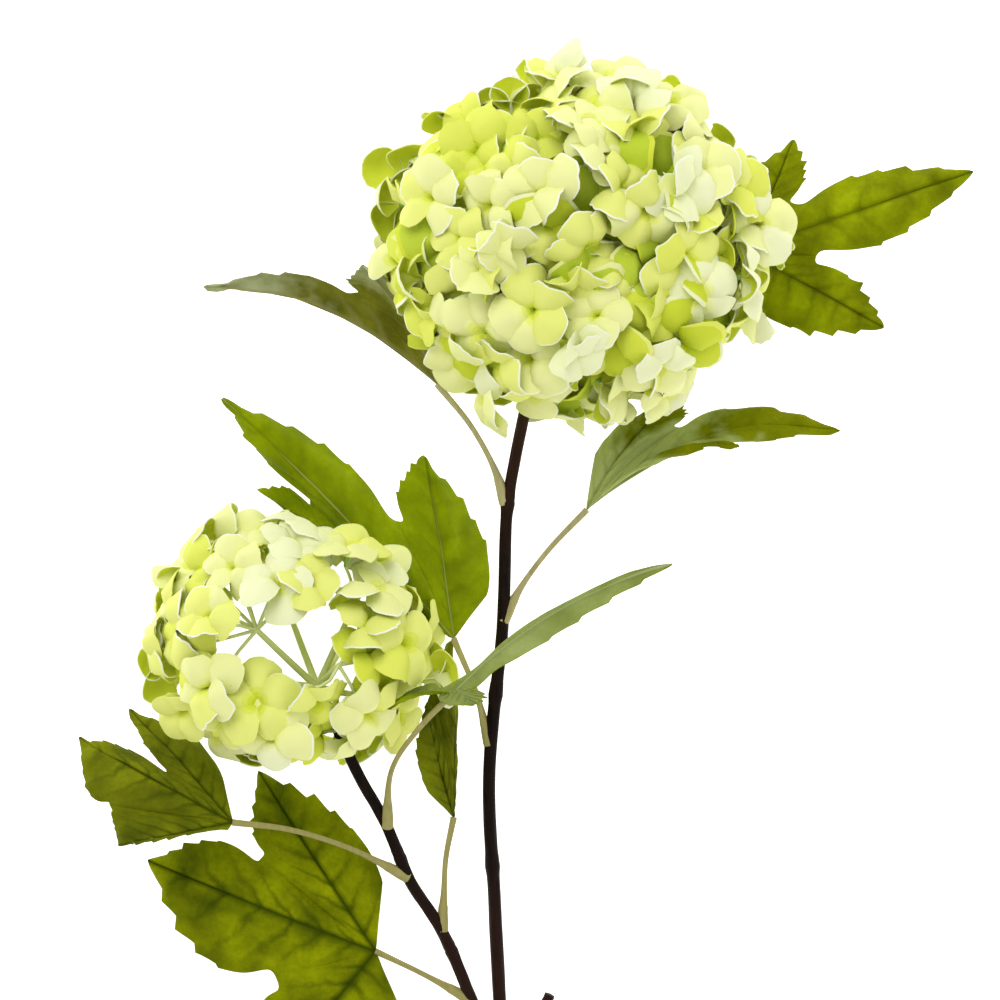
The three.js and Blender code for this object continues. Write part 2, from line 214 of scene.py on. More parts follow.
@dataclass
class Skin:
    """Corners and faces gathered from many small forms before they become one piece."""

    corners: list[Array] = field(default_factory=list)
    faces: list[Array] = field(default_factory=list)
    finishes: list[Array] = field(default_factory=list)
    prints: list[Array] = field(default_factory=list)
    count: int = 0
    triangles: int = 0

    def add(self, corners: Array, faces: list[Array], finishes: list[Array | int]) -> None:
        """Adds a form.

        Args:
            corners: its corners, one in each row.
            faces: arrays of faces that share a number of sides, by corner number.
            finishes: for each of those arrays, the number of each face's finish, or of all of them.
        """
        self.corners.append(corners)
        for group, finish in zip(faces, finishes):
            self.faces.append(group + self.count)
            self.finishes.append(np.broadcast_to(finish, (len(group),)))
            self.triangles += len(group) * (group.shape[1] - 2)
        self.count += len(corners)

    def add_tube(self, path: Array, radii: Array, sides: int) -> None:
        """Adds a round limb, of a radius for each point and, where it has them, each side."""
        corners, quads, ends = tube(path, radii, sides)
        self.add(corners, [quads, ends], [0, 0])

    def piece(self, node: str, part: str, slot: str, finishes: "list[Finish]") -> Piece:
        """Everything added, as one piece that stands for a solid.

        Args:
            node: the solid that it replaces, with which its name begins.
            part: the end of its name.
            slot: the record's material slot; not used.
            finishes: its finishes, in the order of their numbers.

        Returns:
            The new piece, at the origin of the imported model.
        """
        mesh = self._mesh(f"{node}_{part}", finishes)
        piece = bpy.data.objects.new(mesh.name, mesh)
        bpy.context.scene.collection.objects.link(piece)
        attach(piece, BODY)
        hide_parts(node)
        return piece

    def _mesh(self, name: str, finishes: "list[Finish]") -> bpy.types.Mesh:
        """One smooth mesh of everything added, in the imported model's frame.

        Args:
            name: the mesh's name.
            finishes: its finishes, in the order of their numbers.

        Returns:
            The new mesh.
        """
        mesh = bpy.data.meshes.new(name)
        places = np.vstack(self.corners) + SPRAY_ORIGIN
        sides = np.concatenate([np.full(len(group), group.shape[1]) for group in self.faces])
        mesh.vertices.add(len(places))
        mesh.vertices.foreach_set("co", places.ravel())
        mesh.loops.add(int(sides.sum()))
        mesh.loops.foreach_set("vertex_index", np.concatenate([group.ravel() for group in self.faces]))
        mesh.polygons.add(len(sides))
        mesh.polygons.foreach_set("loop_start", np.concatenate([[0], np.cumsum(sides)[:-1]]))
        mesh.polygons.foreach_set("material_index", np.concatenate(self.finishes))
        mesh.polygons.foreach_set("use_smooth", np.ones(len(sides), bool))
        for finish in finishes:
            mesh.materials.append(finish.material())
        if self.prints:
            printed = mesh.attributes.new(VEIN_PRINT, "FLOAT_VECTOR", "POINT")
            printed.data.foreach_set("vector", np.vstack(self.prints).astype(np.float32).ravel())
        mesh.update(calc_edges=True)
        mesh.validate()
        mesh.set_sharp_from_angle(angle=RIM_ANGLE)
        return mesh


def tube(path: Array, radii: Array, sides: int) -> tuple[Array, Array, Array]:
    """A round limb with domed ends.

    Args:
        path: points along its middle.
        radii: its radius, for every point and for every side, or for every point alone.
        sides: how many sides it has.

    Returns:
        Its corners, its four-sided faces and its three-sided end faces.
    """
    tangents, across, up = carried_frames(path)
    turn = angles_round(sides)
    radii = np.broadcast_to(radii.reshape(len(path), -1), (len(path), sides))
    ring = across[:, None] * np.cos(turn)[None, :, None] + up[:, None] * np.sin(turn)[None, :, None]
    rings = path[:, None] + ring * radii[..., None]
    foot = path[0] - tangents[0] * radii[0].mean() * DOME
    tip = path[-1] + tangents[-1] * radii[-1].mean() * DOME
    corners = np.vstack([rings.reshape(-1, 3), foot, tip])
    side = np.arange(sides)
    beside = (side + 1) % sides
    row = np.arange(len(path) - 1)[:, None] * sides
    quads = np.stack([row + side, row + beside, row + sides + beside, row + sides + side], axis=-1)
    last = (len(path) - 1) * sides
    foot_fan = np.stack([beside, side, np.full(sides, len(corners) - 2)], axis=1)
    tip_fan = np.stack([last + side, last + beside, np.full(sides, len(corners) - 1)], axis=1)
    return corners, quads.reshape(-1, 4), np.vstack([foot_fan, tip_fan])


# ---------------------------------------------------------------- finishes


class Nodes:
    """A material's nodes, made by short calls.

    Where a call names a node's sockets, their names have capitals, and underscores for spaces.
    """

    def __init__(self, name: str) -> None:
        """Starts a material of one principled shader."""
        self.material = bpy.data.materials.new(name)
        self.material.use_nodes = True
        self.tree = self.material.node_tree
        self.shader = self.tree.nodes["Principled BSDF"]

    def feed(self, socket: Socket, value: object) -> None:
        """Links or sets a socket.

        Args:
            socket: the socket.
            value: the socket that it is linked to, or the constant that it is set to.
        """
        if isinstance(value, Socket):
            self.tree.links.new(value, socket)
        else:
            socket.default_value = value

    def set(self, **values: object) -> None:
        """Feeds the shader's sockets."""
        for name, value in values.items():
            self.feed(self.shader.inputs[name.replace("_", " ")], value)

    def node(self, kind: str, **values: object) -> bpy.types.Node:
        """Makes a node.

        Args:
            kind: the kind of node.
            values: what its settings are and what its sockets are fed with.

        Returns:
            The new node.
        """
        made = self.tree.nodes.new(kind)
        for name, value in values.items():
            if name[0].isupper():
                self.feed(made.inputs[name.replace("_", " ")], value)
            else:
                setattr(made, name, value)
        return made

    def place(self) -> Socket:
        """Places on the piece, in metres."""
        return self.node("ShaderNodeTexCoord").outputs["Object"]

    def noise(self, size: float, detail: float = 3.0, stretch: Place = (1, 1, 1)) -> Socket:
        """Soft random spots.

        Args:
            size: the size of a spot.
            detail: how much finer grain they hold.
            stretch: how closely they follow each other along each axis.

        Returns:
            Values about 0.5.
        """
        mapped = self.node("ShaderNodeMapping", Vector=self.place(), Scale=stretch).outputs["Vector"]
        return self.node("ShaderNodeTexNoise", Vector=mapped, Scale=1 / size, Detail=detail).outputs["Fac"]

    def weave(self, thread: float) -> Socket:
        """A plain weave.

        Args:
            thread: the spacing of its threads.

        Returns:
            Its height at each place.
        """
        bands = [self.node("ShaderNodeTexWave", wave_type="BANDS", bands_direction=direction,
                           Vector=self.place(), Scale=BAND_SPACING / thread, Distortion=1.2)
                 for direction in "XY"]
        return self.math("MULTIPLY", *(band.outputs["Fac"] for band in bands))

    def split(self, vector: Socket) -> tuple[Socket, Socket, Socket]:
        """A vector's three numbers."""
        return tuple(self.node("ShaderNodeSeparateXYZ", Vector=vector).outputs)

    def math(self, operation: str, a: Socket | float, b: Socket | float = 0.0,
             clamp: bool = False) -> Socket:
        """The result of an operation on numbers.

        Args:
            operation: the operation's name.
            a: its first number.
            b: its second number, where it takes two.
            clamp: whether the result is kept from 0 to 1.

        Returns:
            The result.
        """
        made = self.node("ShaderNodeMath", operation=operation, use_clamp=clamp)
        for socket, value in zip(made.inputs, (a, b)):
            self.feed(socket, value)
        return made.outputs[0]

    def ramp(self, value: Socket, stops: tuple[tuple[float, Colour], ...]) -> Socket:
        """A colour picked by a value.

        Args:
            value: the value.
            stops: values in rising order, each with its colour.

        Returns:
            The colour.
        """
        made = self.node("ShaderNodeValToRGB", Fac=value)
        elements = made.color_ramp.elements
        while len(elements) < len(stops):
            elements.new(0.5)
        for element, (position, colour) in zip(elements, stops):
            element.position = position
            element.color = (*colour, 1)
        return made.outputs["Color"]

    def mix(self, share: Socket, first: Socket | Colour, second: Socket | Colour) -> Socket:
        """A mix of two colours.

        Args:
            share: the second colour's share.
            first: the first colour.
            second: the second colour.

        Returns:
            The mixed colour.
        """
        made = self.node("ShaderNodeMix", data_type="RGBA", Factor=share)
        for socket, value in zip((s for s in made.inputs if s.type == "RGBA"), (first, second)):
            self.feed(socket, (*value, 1) if isinstance(value, tuple) else value)
        return next(s for s in made.outputs if s.type == "RGBA")

    def spread(self, value: Socket, low: float, high: float, span: Span = NOISE_SPAN) -> Socket:
        """A value whose span is spread to run from low to high.

        Args:
            value: the value.
            low: what it becomes at the start of its span.
            high: what it becomes at the end of its span.
            span: where the span starts and ends.

        Returns:
            The spread value.
        """
        made = self.node("ShaderNodeMapRange", Value=value, From_Min=span[0], From_Max=span[1],
                         To_Min=low, To_Max=high)
        return made.outputs["Result"]

    def bump(self, height: Socket, depth: float, strength: float) -> None:
        """Raises the surface by a height of that depth, seen as strongly as that."""
        made = self.node("ShaderNodeBump", Height=height, Distance=depth, Strength=strength)
        self.set(Normal=made.outputs["Normal"])


@dataclass(frozen=True)
class Finish:
    """A finish that makes its material once, the first time that a piece asks for it."""

    name: str

    def material(self) -> Material:
        """The finish's material."""
        return bpy.data.materials.get(self.name) or self.made()

    def made(self) -> Material:
        """The material, made anew."""
        raise NotImplementedError


@dataclass(frozen=True)
class PetalCloth(Finish):
    """Thin dyed petal cloth of one plain colour, with a fine weave; some petal colours also stand in for
    painted shade.
    """

    colour: Colour
    roughness: Span = (0.62, 0.82)
    spots: float = 0.004
    thread: float = 0.00032
    crumple: float = 0.0012
    depth: float = 0.00007

    def made(self) -> Material:
        """The cloth as a material."""
        made = Nodes(self.name)
        made.set(Base_Color=(*self.colour, 1), Specular_IOR_Level=0.1,
                 Roughness=made.spread(made.noise(self.spots), *self.roughness))
        made.bump(made.math("ADD", made.weave(self.thread), made.noise(self.crumple)), self.depth, 0.4)
        return made.material


@dataclass(frozen=True)
class LeafCloth(Finish):
    """Printed leaf cloth, mottled between two greens, with shaded veins and a fine line along each rib."""

    dark: Colour
    light: Colour
    shade: Colour
    line: Colour
    shade_share: float = 0.6
    line_share: float = 0.35
    # a paler grey-green mixed in over a stretch along the leaf, streaked by noise
    pale_tint: Colour = (0.0, 0.0, 0.0)
    pale_tint_span: Span = (0.0, 1.0)
    pale_tint_share: float = 0.0
    mottle: float = 0.011
    roughness: Span = (0.55, 0.75)
    grain: float = 0.0011
    grain_share: float = 0.25
    thread: float = 0.00035
    depth: float = 0.00012

    def made(self) -> Material:
        """The cloth as a material."""
        made = Nodes(self.name)
        mottle = made.noise(self.mottle, 4.0)
        grain = made.noise(self.grain, 2.0)
        along, beside_rib, rib, vein = self._veins(made)
        colour = made.mix(made.spread(mottle, 0.0, 1.0), self.dark, self.light)
        colour = made.mix(made.spread(grain, 0.0, self.grain_share), colour, self.dark)
        # mixes in the paler grey-green over a stretch along the leaf, streaked by noise
        if self.pale_tint_share:
            streaked = made.math("ADD", along, made.spread(made.noise(0.005), -0.8, 0.8))
            pale_tinted = made.spread(streaked, 0.0, self.pale_tint_share, self.pale_tint_span)
            colour = made.mix(pale_tinted, colour, self.pale_tint)
        for near, share, tint in ((beside_rib, self.shade_share, self.shade),
                                  (vein, self.shade_share * 0.8, self.shade),
                                  (rib, self.line_share, self.line)):
            colour = made.mix(made.math("MULTIPLY", near, share), colour, tint)
        made.set(Base_Color=colour, Specular_IOR_Level=0.03, Roughness=made.spread(mottle, *self.roughness))
        pressed = made.math("SUBTRACT", 1.0, made.math("MAXIMUM", vein, rib))
        cloth = made.math("ADD", made.weave(self.thread), made.math("MULTIPLY", grain, 2.0))
        made.bump(made.math("ADD", made.math("MULTIPLY", pressed, 3.0), cloth), self.depth, 0.5)
        return made.material

    @staticmethod
    def _veins(made: Nodes) -> tuple[Socket, Socket, Socket, Socket]:
        """Where each place lies among the printed veins.

        Args:
            made: the cloth's nodes.

        Returns:
            How many side veins lie before it, and from 0 to 1 how near it is to a rib, to the fine line
            along that rib, and to a side vein.
        """
        printed = made.node("ShaderNodeAttribute", attribute_name=VEIN_PRINT)
        along, from_rib, across = made.split(printed.outputs["Vector"])
        wander = made.math("MULTIPLY", made.noise(0.007), 0.9)
        stage = made.math("FRACT", made.math("ADD", along, wander))
        aside = made.math("MULTIPLY", made.math("ABSOLUTE", made.math("SUBTRACT", stage, 0.5)), 4.5)
        on_vein = made.math("SUBTRACT", 1.0, aside, clamp=True)
        vein = made.math("MULTIPLY", on_vein, made.math("SUBTRACT", 1.0, across, clamp=True))
        beside_rib = made.math("SUBTRACT", 1.0, made.math("MULTIPLY", from_rib, 0.22), clamp=True)
        rib = made.math("SUBTRACT", 1.3, made.math("MULTIPLY", from_rib, 1.6), clamp=True)
        return along, beside_rib, rib, vein


@dataclass(frozen=True)
class MouldedPlastic(Finish):
    """Moulded plastic with streaks along it, whose colour may change from one end to the other."""

    stops: tuple[tuple[float, Colour], ...]
    streak: Colour
    streak_share: float
    roughness: Span
    start: float = -0.13
    length: float = 0.2
    wander: float = 0.02
    depth: float = 0.00015

    def made(self) -> Material:
        """The plastic as a material."""
        made = Nodes(self.name)
        y = made.split(made.place())[1]
        wander = made.math("MULTIPLY", made.noise(0.006), self.wander)
        along = made.math("ADD", made.math("SUBTRACT", y, self.start), wander)
        colours = made.ramp(made.math("DIVIDE", along, self.length), self.stops)
        grain = made.noise(0.0011, 4.0, (1, 0.12, 1))
        streaks = made.spread(grain, 0.0, self.streak_share)
        made.set(Base_Color=made.mix(streaks, colours, self.streak), Specular_IOR_Level=0.08,
                 Roughness=made.spread(grain, *self.roughness))
        made.bump(grain, self.depth, 0.5)
        return made.material


class PetalTone(Enum):
    """The plain colours of petal cloth, from a green neck to a white frayed edge, and the underside's; the
    greener ones also serve as painted shade in throats, on undersides and deep in a head.
    """

    NECK = PetalCloth("petal_neck_green", (0.54, 0.66, 0.05))
    THROAT = PetalCloth("petal_throat_lime", (0.64, 0.73, 0.045))
    INNER = PetalCloth("petal_inner_lime", (0.71, 0.785, 0.07))
    LIME = PetalCloth("petal_lime", (0.77, 0.83, 0.13))
    PALE = PetalCloth("petal_pale_lime", (0.82, 0.86, 0.22))
    CREAM = PetalCloth("petal_cream", (0.86, 0.89, 0.37))
    FRESH = PetalCloth("petal_fresh_cream", (0.875, 0.905, 0.54))
    EDGE = PetalCloth("petal_edge_white", (0.92, 0.94, 0.74))
    # partly the underside's own lime, partly painted shade for undersides seen in shadow
    UNDER = PetalCloth("petal_underside_lime_and_shade", (0.72, 0.79, 0.06))

    @property
    def number(self) -> int:
        """The tone's number among a petal piece's finishes."""
        return list(PetalTone).index(self)

    def greener(self, steps: int) -> "PetalTone":
        """The tone that lies so many steps nearer to the green neck."""
        return list(PetalTone)[max(self.number - steps, 0)]

    def paler(self, steps: int) -> "PetalTone":
        """The tone that lies so many steps nearer to the white edge."""
        return list(PetalTone)[min(self.number + steps, PetalTone.EDGE.number)]


Tints = tuple[PetalTone, PetalTone]
STALK_GREEN = PetalCloth("floret_stalk_green", (0.84, 0.89, 0.46))
EYE_GREEN = PetalCloth("floret_eye_green", (0.40, 0.58, 0.14))
STEM_PLASTIC = MouldedPlastic(
    "dark_stem_plastic",
    ((0.0, (0.026, 0.007, 0.004)), (0.30, (0.016, 0.005, 0.003)), (0.42, (0.003, 0.001, 0.001)),
     (0.78, (0.003, 0.001, 0.001)), (0.88, (0.022, 0.008, 0.004)), (1.0, (0.045, 0.020, 0.010))),
    (0.040, 0.018, 0.009), 0.25, (0.42, 0.6),
)
PETIOLE_PLASTIC = MouldedPlastic(
    "cream_petiole_plastic",
    ((0.0, (0.34, 0.30, 0.10)), (0.6, (0.40, 0.36, 0.14)), (1.0, (0.56, 0.50, 0.28))),
    (0.22, 0.20, 0.05), 0.45, (0.5, 0.68),
)


# ---------------------------------------------------------------- stems and petioles


@dataclass
class Limb:
    """A round limb of moulded plastic along a route."""

    part: ClassVar[str]
    slot: ClassVar[str]
    finish: ClassVar[Finish]
    spacing: ClassVar[float]
    sides: ClassVar[int]
    node: str
    route: Route

    def radii(self, path: Array) -> Array:
        """The radius at each point and side of a path."""
        raise NotImplementedError

    def build(self) -> Piece:
        """The limb as a piece."""
        path = smooth_path(metres(self.route), self.spacing)
        skin = Skin()
        skin.add_tube(path, self.radii(path), self.sides)
        return skin.piece(self.node, self.part, self.slot, [self.finish])


def swelling(away: Array, reach: float) -> Array:
    """A smooth swelling, from 1 where nothing is away from it to 0 well past its reach."""
    return np.exp(-((away / reach) ** 2))


@dataclass
class Stem(Limb):
    """A woody stem, with grain, and a swelling with a scar at each old leaf joint."""

    part = "bark"
    slot = "stem_plastic"
    finish = STEM_PLASTIC
    spacing = 0.0009
    sides = 24
    foot: float
    tip: float
    joints: tuple[float, ...] = ()
    swell: float = 0.00035
    swell_reach: float = 0.0022
    scar: float = 0.00016
    scar_place: float = 0.0006
    scar_reach: float = 0.0005
    grain: float = 0.00007
    ridges: tuple[int, ...] = (3, 5, 7, 9)
    drift: Span = (20, 60)
    seed: int = 3

    def radii(self, path: Array) -> Array:
        """The radius with its taper, swellings, scars and grain.

        Args:
            path: points along the stem.

        Returns:
            The radius at each point and side.
        """
        t = np.linspace(0, 1, len(path))
        radii = self.foot + (self.tip - self.foot) * t
        for joint in self.joints:
            away = (t - joint) * steps_along(path).sum()
            radii = radii + self.swell * swelling(away, self.swell_reach)
            radii = radii - self.scar * swelling(away - self.scar_place, self.scar_reach)
        dice = Dice(self.seed)
        grain = np.zeros((len(path), self.sides))
        for waves in self.ridges:
            phase, drift = dice.angle(), dice.between(*self.drift)
            wander = np.sin(t[:, None] * drift) * 1.5
            grain += np.sin(waves * angles_round(self.sides) + phase + wander) / 2
        return radii[:, None] + self.grain * grain


@dataclass
class Petiole(Limb):
    """A leaf's slim stalk, with a swollen sheath where it clasps its stem and a channel along its top."""

    part = "stalk"
    slot = "petiole_plastic"
    finish = PETIOLE_PLASTIC
    spacing = 0.0007
    sides = 14
    sheath: float = 0.0016
    sheath_reach: float = 0.0075
    middle: float = 0.00065
    tip: float = 0.00085
    collar: float = 0.0001
    collar_place: float = 0.006
    collar_reach: float = 0.0006
    channel: float = 0.12
    channel_reach: float = 0.5

    def radii(self, path: Array) -> Array:
        """The radius with its sheath, collar, channel and thicker tip.

        Args:
            path: points along the petiole.

        Returns:
            The radius at each point and side.
        """
        t = np.linspace(0, 1, len(path))
        away = t * steps_along(path).sum()
        sheath = (self.sheath - self.middle) * swelling(away, self.sheath_reach)
        collar = self.collar * swelling(away - self.collar_place, self.collar_reach)
        radii = self.middle + sheath + collar + (self.tip - self.middle) * t**4
        from_top = np.angle(np.exp(1j * (angles_round(self.sides) - math.pi / 2)))
        return radii[:, None] * (1 - self.channel * swelling(from_top, self.channel_reach))


# ---------------------------------------------------------------- leaves


class LeafTop(Enum):
    """The printed greens of a leaf's upper face; the dusky olive one is darkened as painted shade."""

    GOLDEN = LeafCloth("leaf_golden_green", (0.12, 0.14, 0.0004), (0.36, 0.43, 0.002),
                       (0.08, 0.10, 0.0003), (0.10, 0.13, 0.0006), 0.75, 0.2)
    MID = LeafCloth("leaf_mid_green", (0.155, 0.205, 0.0004), (0.32, 0.405, 0.0018),
                    (0.09, 0.125, 0.0003), (0.36, 0.40, 0.13), 0.45, 0.65)
    FOLDED = LeafCloth("leaf_folded_green", (0.13, 0.155, 0.0004), (0.265, 0.295, 0.002),
                       (0.09, 0.11, 0.0003), (0.30, 0.33, 0.10), 0.4, 0.3,
                       (0.48, 0.56, 0.20), (4.4, 2.6), 0.9)
    DEEP = LeafCloth("leaf_deep_green", (0.080, 0.095, 0.002), (0.235, 0.265, 0.006),
                     (0.028, 0.044, 0.0002), (0.04, 0.06, 0.0004), 0.85, 0.3)
    PANELLED = LeafCloth("leaf_panelled_green", (0.072, 0.094, 0.0003), (0.325, 0.37, 0.0009),
                         (0.026, 0.046, 0.0002), (0.04, 0.06, 0.0004), 0.9, 0.3)
    # painted shade: dark olive for a leaf seen in shade
    DUSKY = LeafCloth("leaf_dusky_olive_painted_shade", (0.095, 0.098, 0.003), (0.22, 0.225, 0.016),
                      (0.27, 0.26, 0.10), (0.38, 0.36, 0.16), 0.7, 0.6,
                      (0.42, 0.46, 0.24), (3.8, 6.2), 0.85)


class LeafUnder(Enum):
    """The greens of a leaf's underside; the olive one is darkened as painted shade, against the lit grey
    one.
    """

    GREY = LeafCloth("leaf_grey_underside", (0.22, 0.275, 0.055), (0.38, 0.45, 0.15),
                     (0.20, 0.25, 0.07), (0.46, 0.49, 0.25), 0.5, 0.6)
    # painted shade: the underside darkened for a leaf seen in shade
    OLIVE = LeafCloth("leaf_olive_underside_painted_shade", (0.095, 0.100, 0.003), (0.225, 0.23, 0.018),
                      (0.25, 0.24, 0.08), (0.36, 0.34, 0.14), 0.7, 0.6,
                      (0.42, 0.46, 0.24), (3.8, 6.2), 0.85)


@dataclass(frozen=True)
class SideLobe:
    """One side lobe of a leaf, by its tip and its outline on the flat blade.

    Its notch is how far out the gap beside the centre lobe reaches, its outer is how far the other edge
    swells, and its ear is how far the blade's lower corner lies from the foot.
    """

    tip: Place
    notch: float = 0.36
    outer: float = 0.1
    ear: float = 0.24


@dataclass
class Leaf:
    """A three-lobed toothed leaf: three ribs spread from the end of its petiole to three tips."""

    name: str
    petiole: Route
    left: SideLobe
    centre: Place
    right: SideLobe
    arch: Place
    top: LeafTop = LeafTop.MID
    under: LeafUnder = LeafUnder.GREY
    twist: float = 0.0
    bulge: float = 0.11
    wave: float = 0.0011
    droop: float = 0.0016
    droop_reach: float = 12.0
    crease: float = 0.0009
    crease_reach: float = 0.05
    quilt: float = 0.00026
    seed: int = 5
    tooth: float = 0.034
    tooth_sizes: Span = (0.45, 1.3)
    tooth_crowding: float = 1.15
    toothless: float = 0.25
    tooth_growth: float = 0.3
    teeth: int = 6
    sinus: float = 0.034
    sinus_reach: float = 0.07
    lobe_angle: float = 1.0
    side_length: float = 0.74
    ear_angle: float = 1.1
    ear_turn: float = 0.0
    inner_bulge: float = 0.05
    thickness: float = 0.00034
    rib_width: float = 0.010
    rib_taper: float = 0.7
    veins: int = 7
    rows: int = 66
    corner_rows: float = 0.62
    row_crowding: float = 1.22
    columns: int = 13
    column_crowding: float = 1.15

    def half_lobe(self, tip: Array, corner: Array, inner: int, outward: Array, bulge: float,
                  sinus: float, dice: Dice) -> tuple[Array, Array]:
        """One half of a lobe, laid flat, from its rib out to its toothed edge.

        Args:
            tip: the lobe's tip.
            corner: where its edge leaves its neighbour, or the leaf's ear.
            inner: how many rows lie before that corner.
            outward: the direction away from its rib.
            bulge: how far the edge swells outward.
            sinus: how far the edge is rounded inward beside that corner.
            dice: sizes the teeth.

        Returns:
            Flat places in rows along the rib, and the print at each of them: how many side veins lie
            before it, its distance from the rib in rib widths, and its share of the way to the edge.
        """
        number = np.arange(self.rows + 1)
        along = np.clip((number - inner) / (self.rows - inner), 0, 1)
        sizes = np.array([dice.between(*self.tooth_sizes) for _ in range(self.teeth + 1)])
        stage = along**self.tooth_crowding * self.teeth
        opened = np.clip((along - self.toothless) / self.tooth_growth, 0, 1) * (1 - along**9)
        teeth = self.tooth * sizes[stage.astype(int)] * (stage % 1) ** 1.4 * opened
        rounded = sinus * along / self.sinus_reach * np.exp(1 - along / self.sinus_reach)
        out = bulge * np.sin(np.pi * along**0.85) + teeth - rounded
        edge = corner + (tip - corner) * along[:, None] + outward * out[:, None]
        edge = np.where(number[:, None] < inner, corner * (number / inner)[:, None], edge)
        rib = tip * (number / self.rows)[:, None] ** self.row_crowding
        across = np.linspace(0, 1, self.columns + 1) ** self.column_crowding
        flat = rib[:, None] + (edge - rib)[:, None] * across[None, :, None]
        rib_width = self.rib_width * (1 - self.rib_taper * number / self.rows)
        from_rib = np.linalg.norm(flat - rib[:, None], axis=-1) / rib_width[:, None]
        before = np.broadcast_to((number / self.rows * self.veins)[:, None], from_rib.shape)
        return flat, np.stack([before, from_rib, np.broadcast_to(across, from_rib.shape)], axis=-1)

    def flat_lobes(self) -> list[tuple[Array, Array, bool]]:
        """Both halves of all three lobes, laid flat.

        Returns:
            For each half its flat places, their prints, and whether its faces have to be turned over.
        """
        dice = Dice(self.seed)
        halves = []
        for side, lobe in ((-1, self.left), (1, self.right)):
            side_tip = on_flat(side * self.lobe_angle, self.side_length)
            notch = on_flat(side * self.lobe_angle / 2, lobe.notch)
            ear = on_flat(side * (self.lobe_angle + self.ear_angle), lobe.ear)
            across_centre = on_flat(side * math.pi / 2, 1)
            across_side = on_flat(side * (self.lobe_angle + math.pi / 2), 1)
            rows = self.rows * self.corner_rows
            to_notch, to_ear = round(rows * lobe.notch), round(rows * lobe.ear)
            for tip, corner, inner, outward, bulge, sinus, flip in (
                (on_flat(0, 1), notch, to_notch, across_centre, self.bulge, self.sinus, side < 0),
                (side_tip, notch, to_notch, -across_side, self.inner_bulge, self.sinus, side > 0),
                (side_tip, ear, to_ear, across_side, lobe.outer, 0.0, side < 0),
            ):
                halves.append((*self.half_lobe(tip, corner, inner, outward, bulge, sinus, dice), flip))
        return halves

    def spread(self, flat: Array) -> Array:
        """Spreads flat places from the blade's foot so that the three ribs end at the leaf's tips.

        Args:
            flat: flat places, one in each row.

        Returns:
            Their places in the spray, one in each row.
        """
        foot = metres(self.petiole[-1])
        centre = metres(self.centre) - foot
        ahead = unit(centre)
        reach = np.linalg.norm(centre)
        angle, length = from_foot(flat)
        share = np.abs(angle) / self.lobe_angle
        placed = np.zeros((len(flat), 3))
        for lobe, chosen in ((self.left, angle < 0), (self.right, angle >= 0)):
            side = metres(lobe.tip) - foot
            beside = unit(side - ahead * (side @ ahead))
            opening = math.acos(float(unit(side) @ ahead))
            past = np.maximum(share - 1, 0) * max(min(opening, self.lobe_angle), self.ear_turn)
            turn = opening * np.minimum(share, 1) + past
            side_reach = np.linalg.norm(side) / self.side_length
            full = reach + (side_reach - reach) * np.minimum(share, 1)
            ray = ahead * np.cos(turn)[:, None] + beside * np.sin(turn)[:, None]
            placed[chosen] = (ray * (full * length)[:, None])[chosen]
        placed = self.twisted(placed, ahead, reach)
        bend = 4 * length * np.maximum(0, 1 - length)
        return placed + foot + metres(self.arch) * bend[:, None]

    def twisted(self, placed: Array, ahead: Array, reach: float) -> Array:
        """Turns places about the centre rib, by the leaf's whole twist at that rib's tip.

        Args:
            placed: the places, from the blade's foot.
            ahead: the direction of the centre rib.
            reach: that rib's length.

        Returns:
            The places where they end up.
        """
        along = placed @ ahead
        turn = self.twist * np.clip(along / reach, 0, 1) ** 1.5
        aside = placed - along[:, None] * ahead
        swung = aside * np.cos(turn)[:, None] + np.cross(ahead, aside) * np.sin(turn)[:, None]
        return along[:, None] * ahead + swung

    def relief(self, flat: Array, prints: Array) -> Array:
        """How the cloth is pressed: waves, a crease at each rib, quilting between veins, a hanging edge.

        Args:
            flat: flat places, one in each row.
            prints: the print at each of them.

        Returns:
            How far each of them is raised.
        """
        angle, length = from_foot(flat)
        before, from_rib, across = prints.T
        phase = self.seed * 1.7
        waves = np.sin(7 * angle + phase) * np.sin(6 * length + phase)
        waves += 0.6 * np.sin(11 * angle - 9 * length)
        ripple = 0.35 * np.sin(23 * angle + 15 * length + phase) * length
        raised = self.wave * (waves * length**1.2 + ripple)
        crease = self.crease * (1 - np.exp(-from_rib * self.rib_width / self.crease_reach))
        quilt = self.quilt * np.sin(np.pi * (before + 0.5)) ** 2 * across * (1 - across) * 4
        droop = self.droop * across**2 * np.minimum(1, length * 2)
        droop *= np.minimum(1, from_rib / self.droop_reach)
        return raised + crease * np.minimum(1, length * 3) + quilt - droop

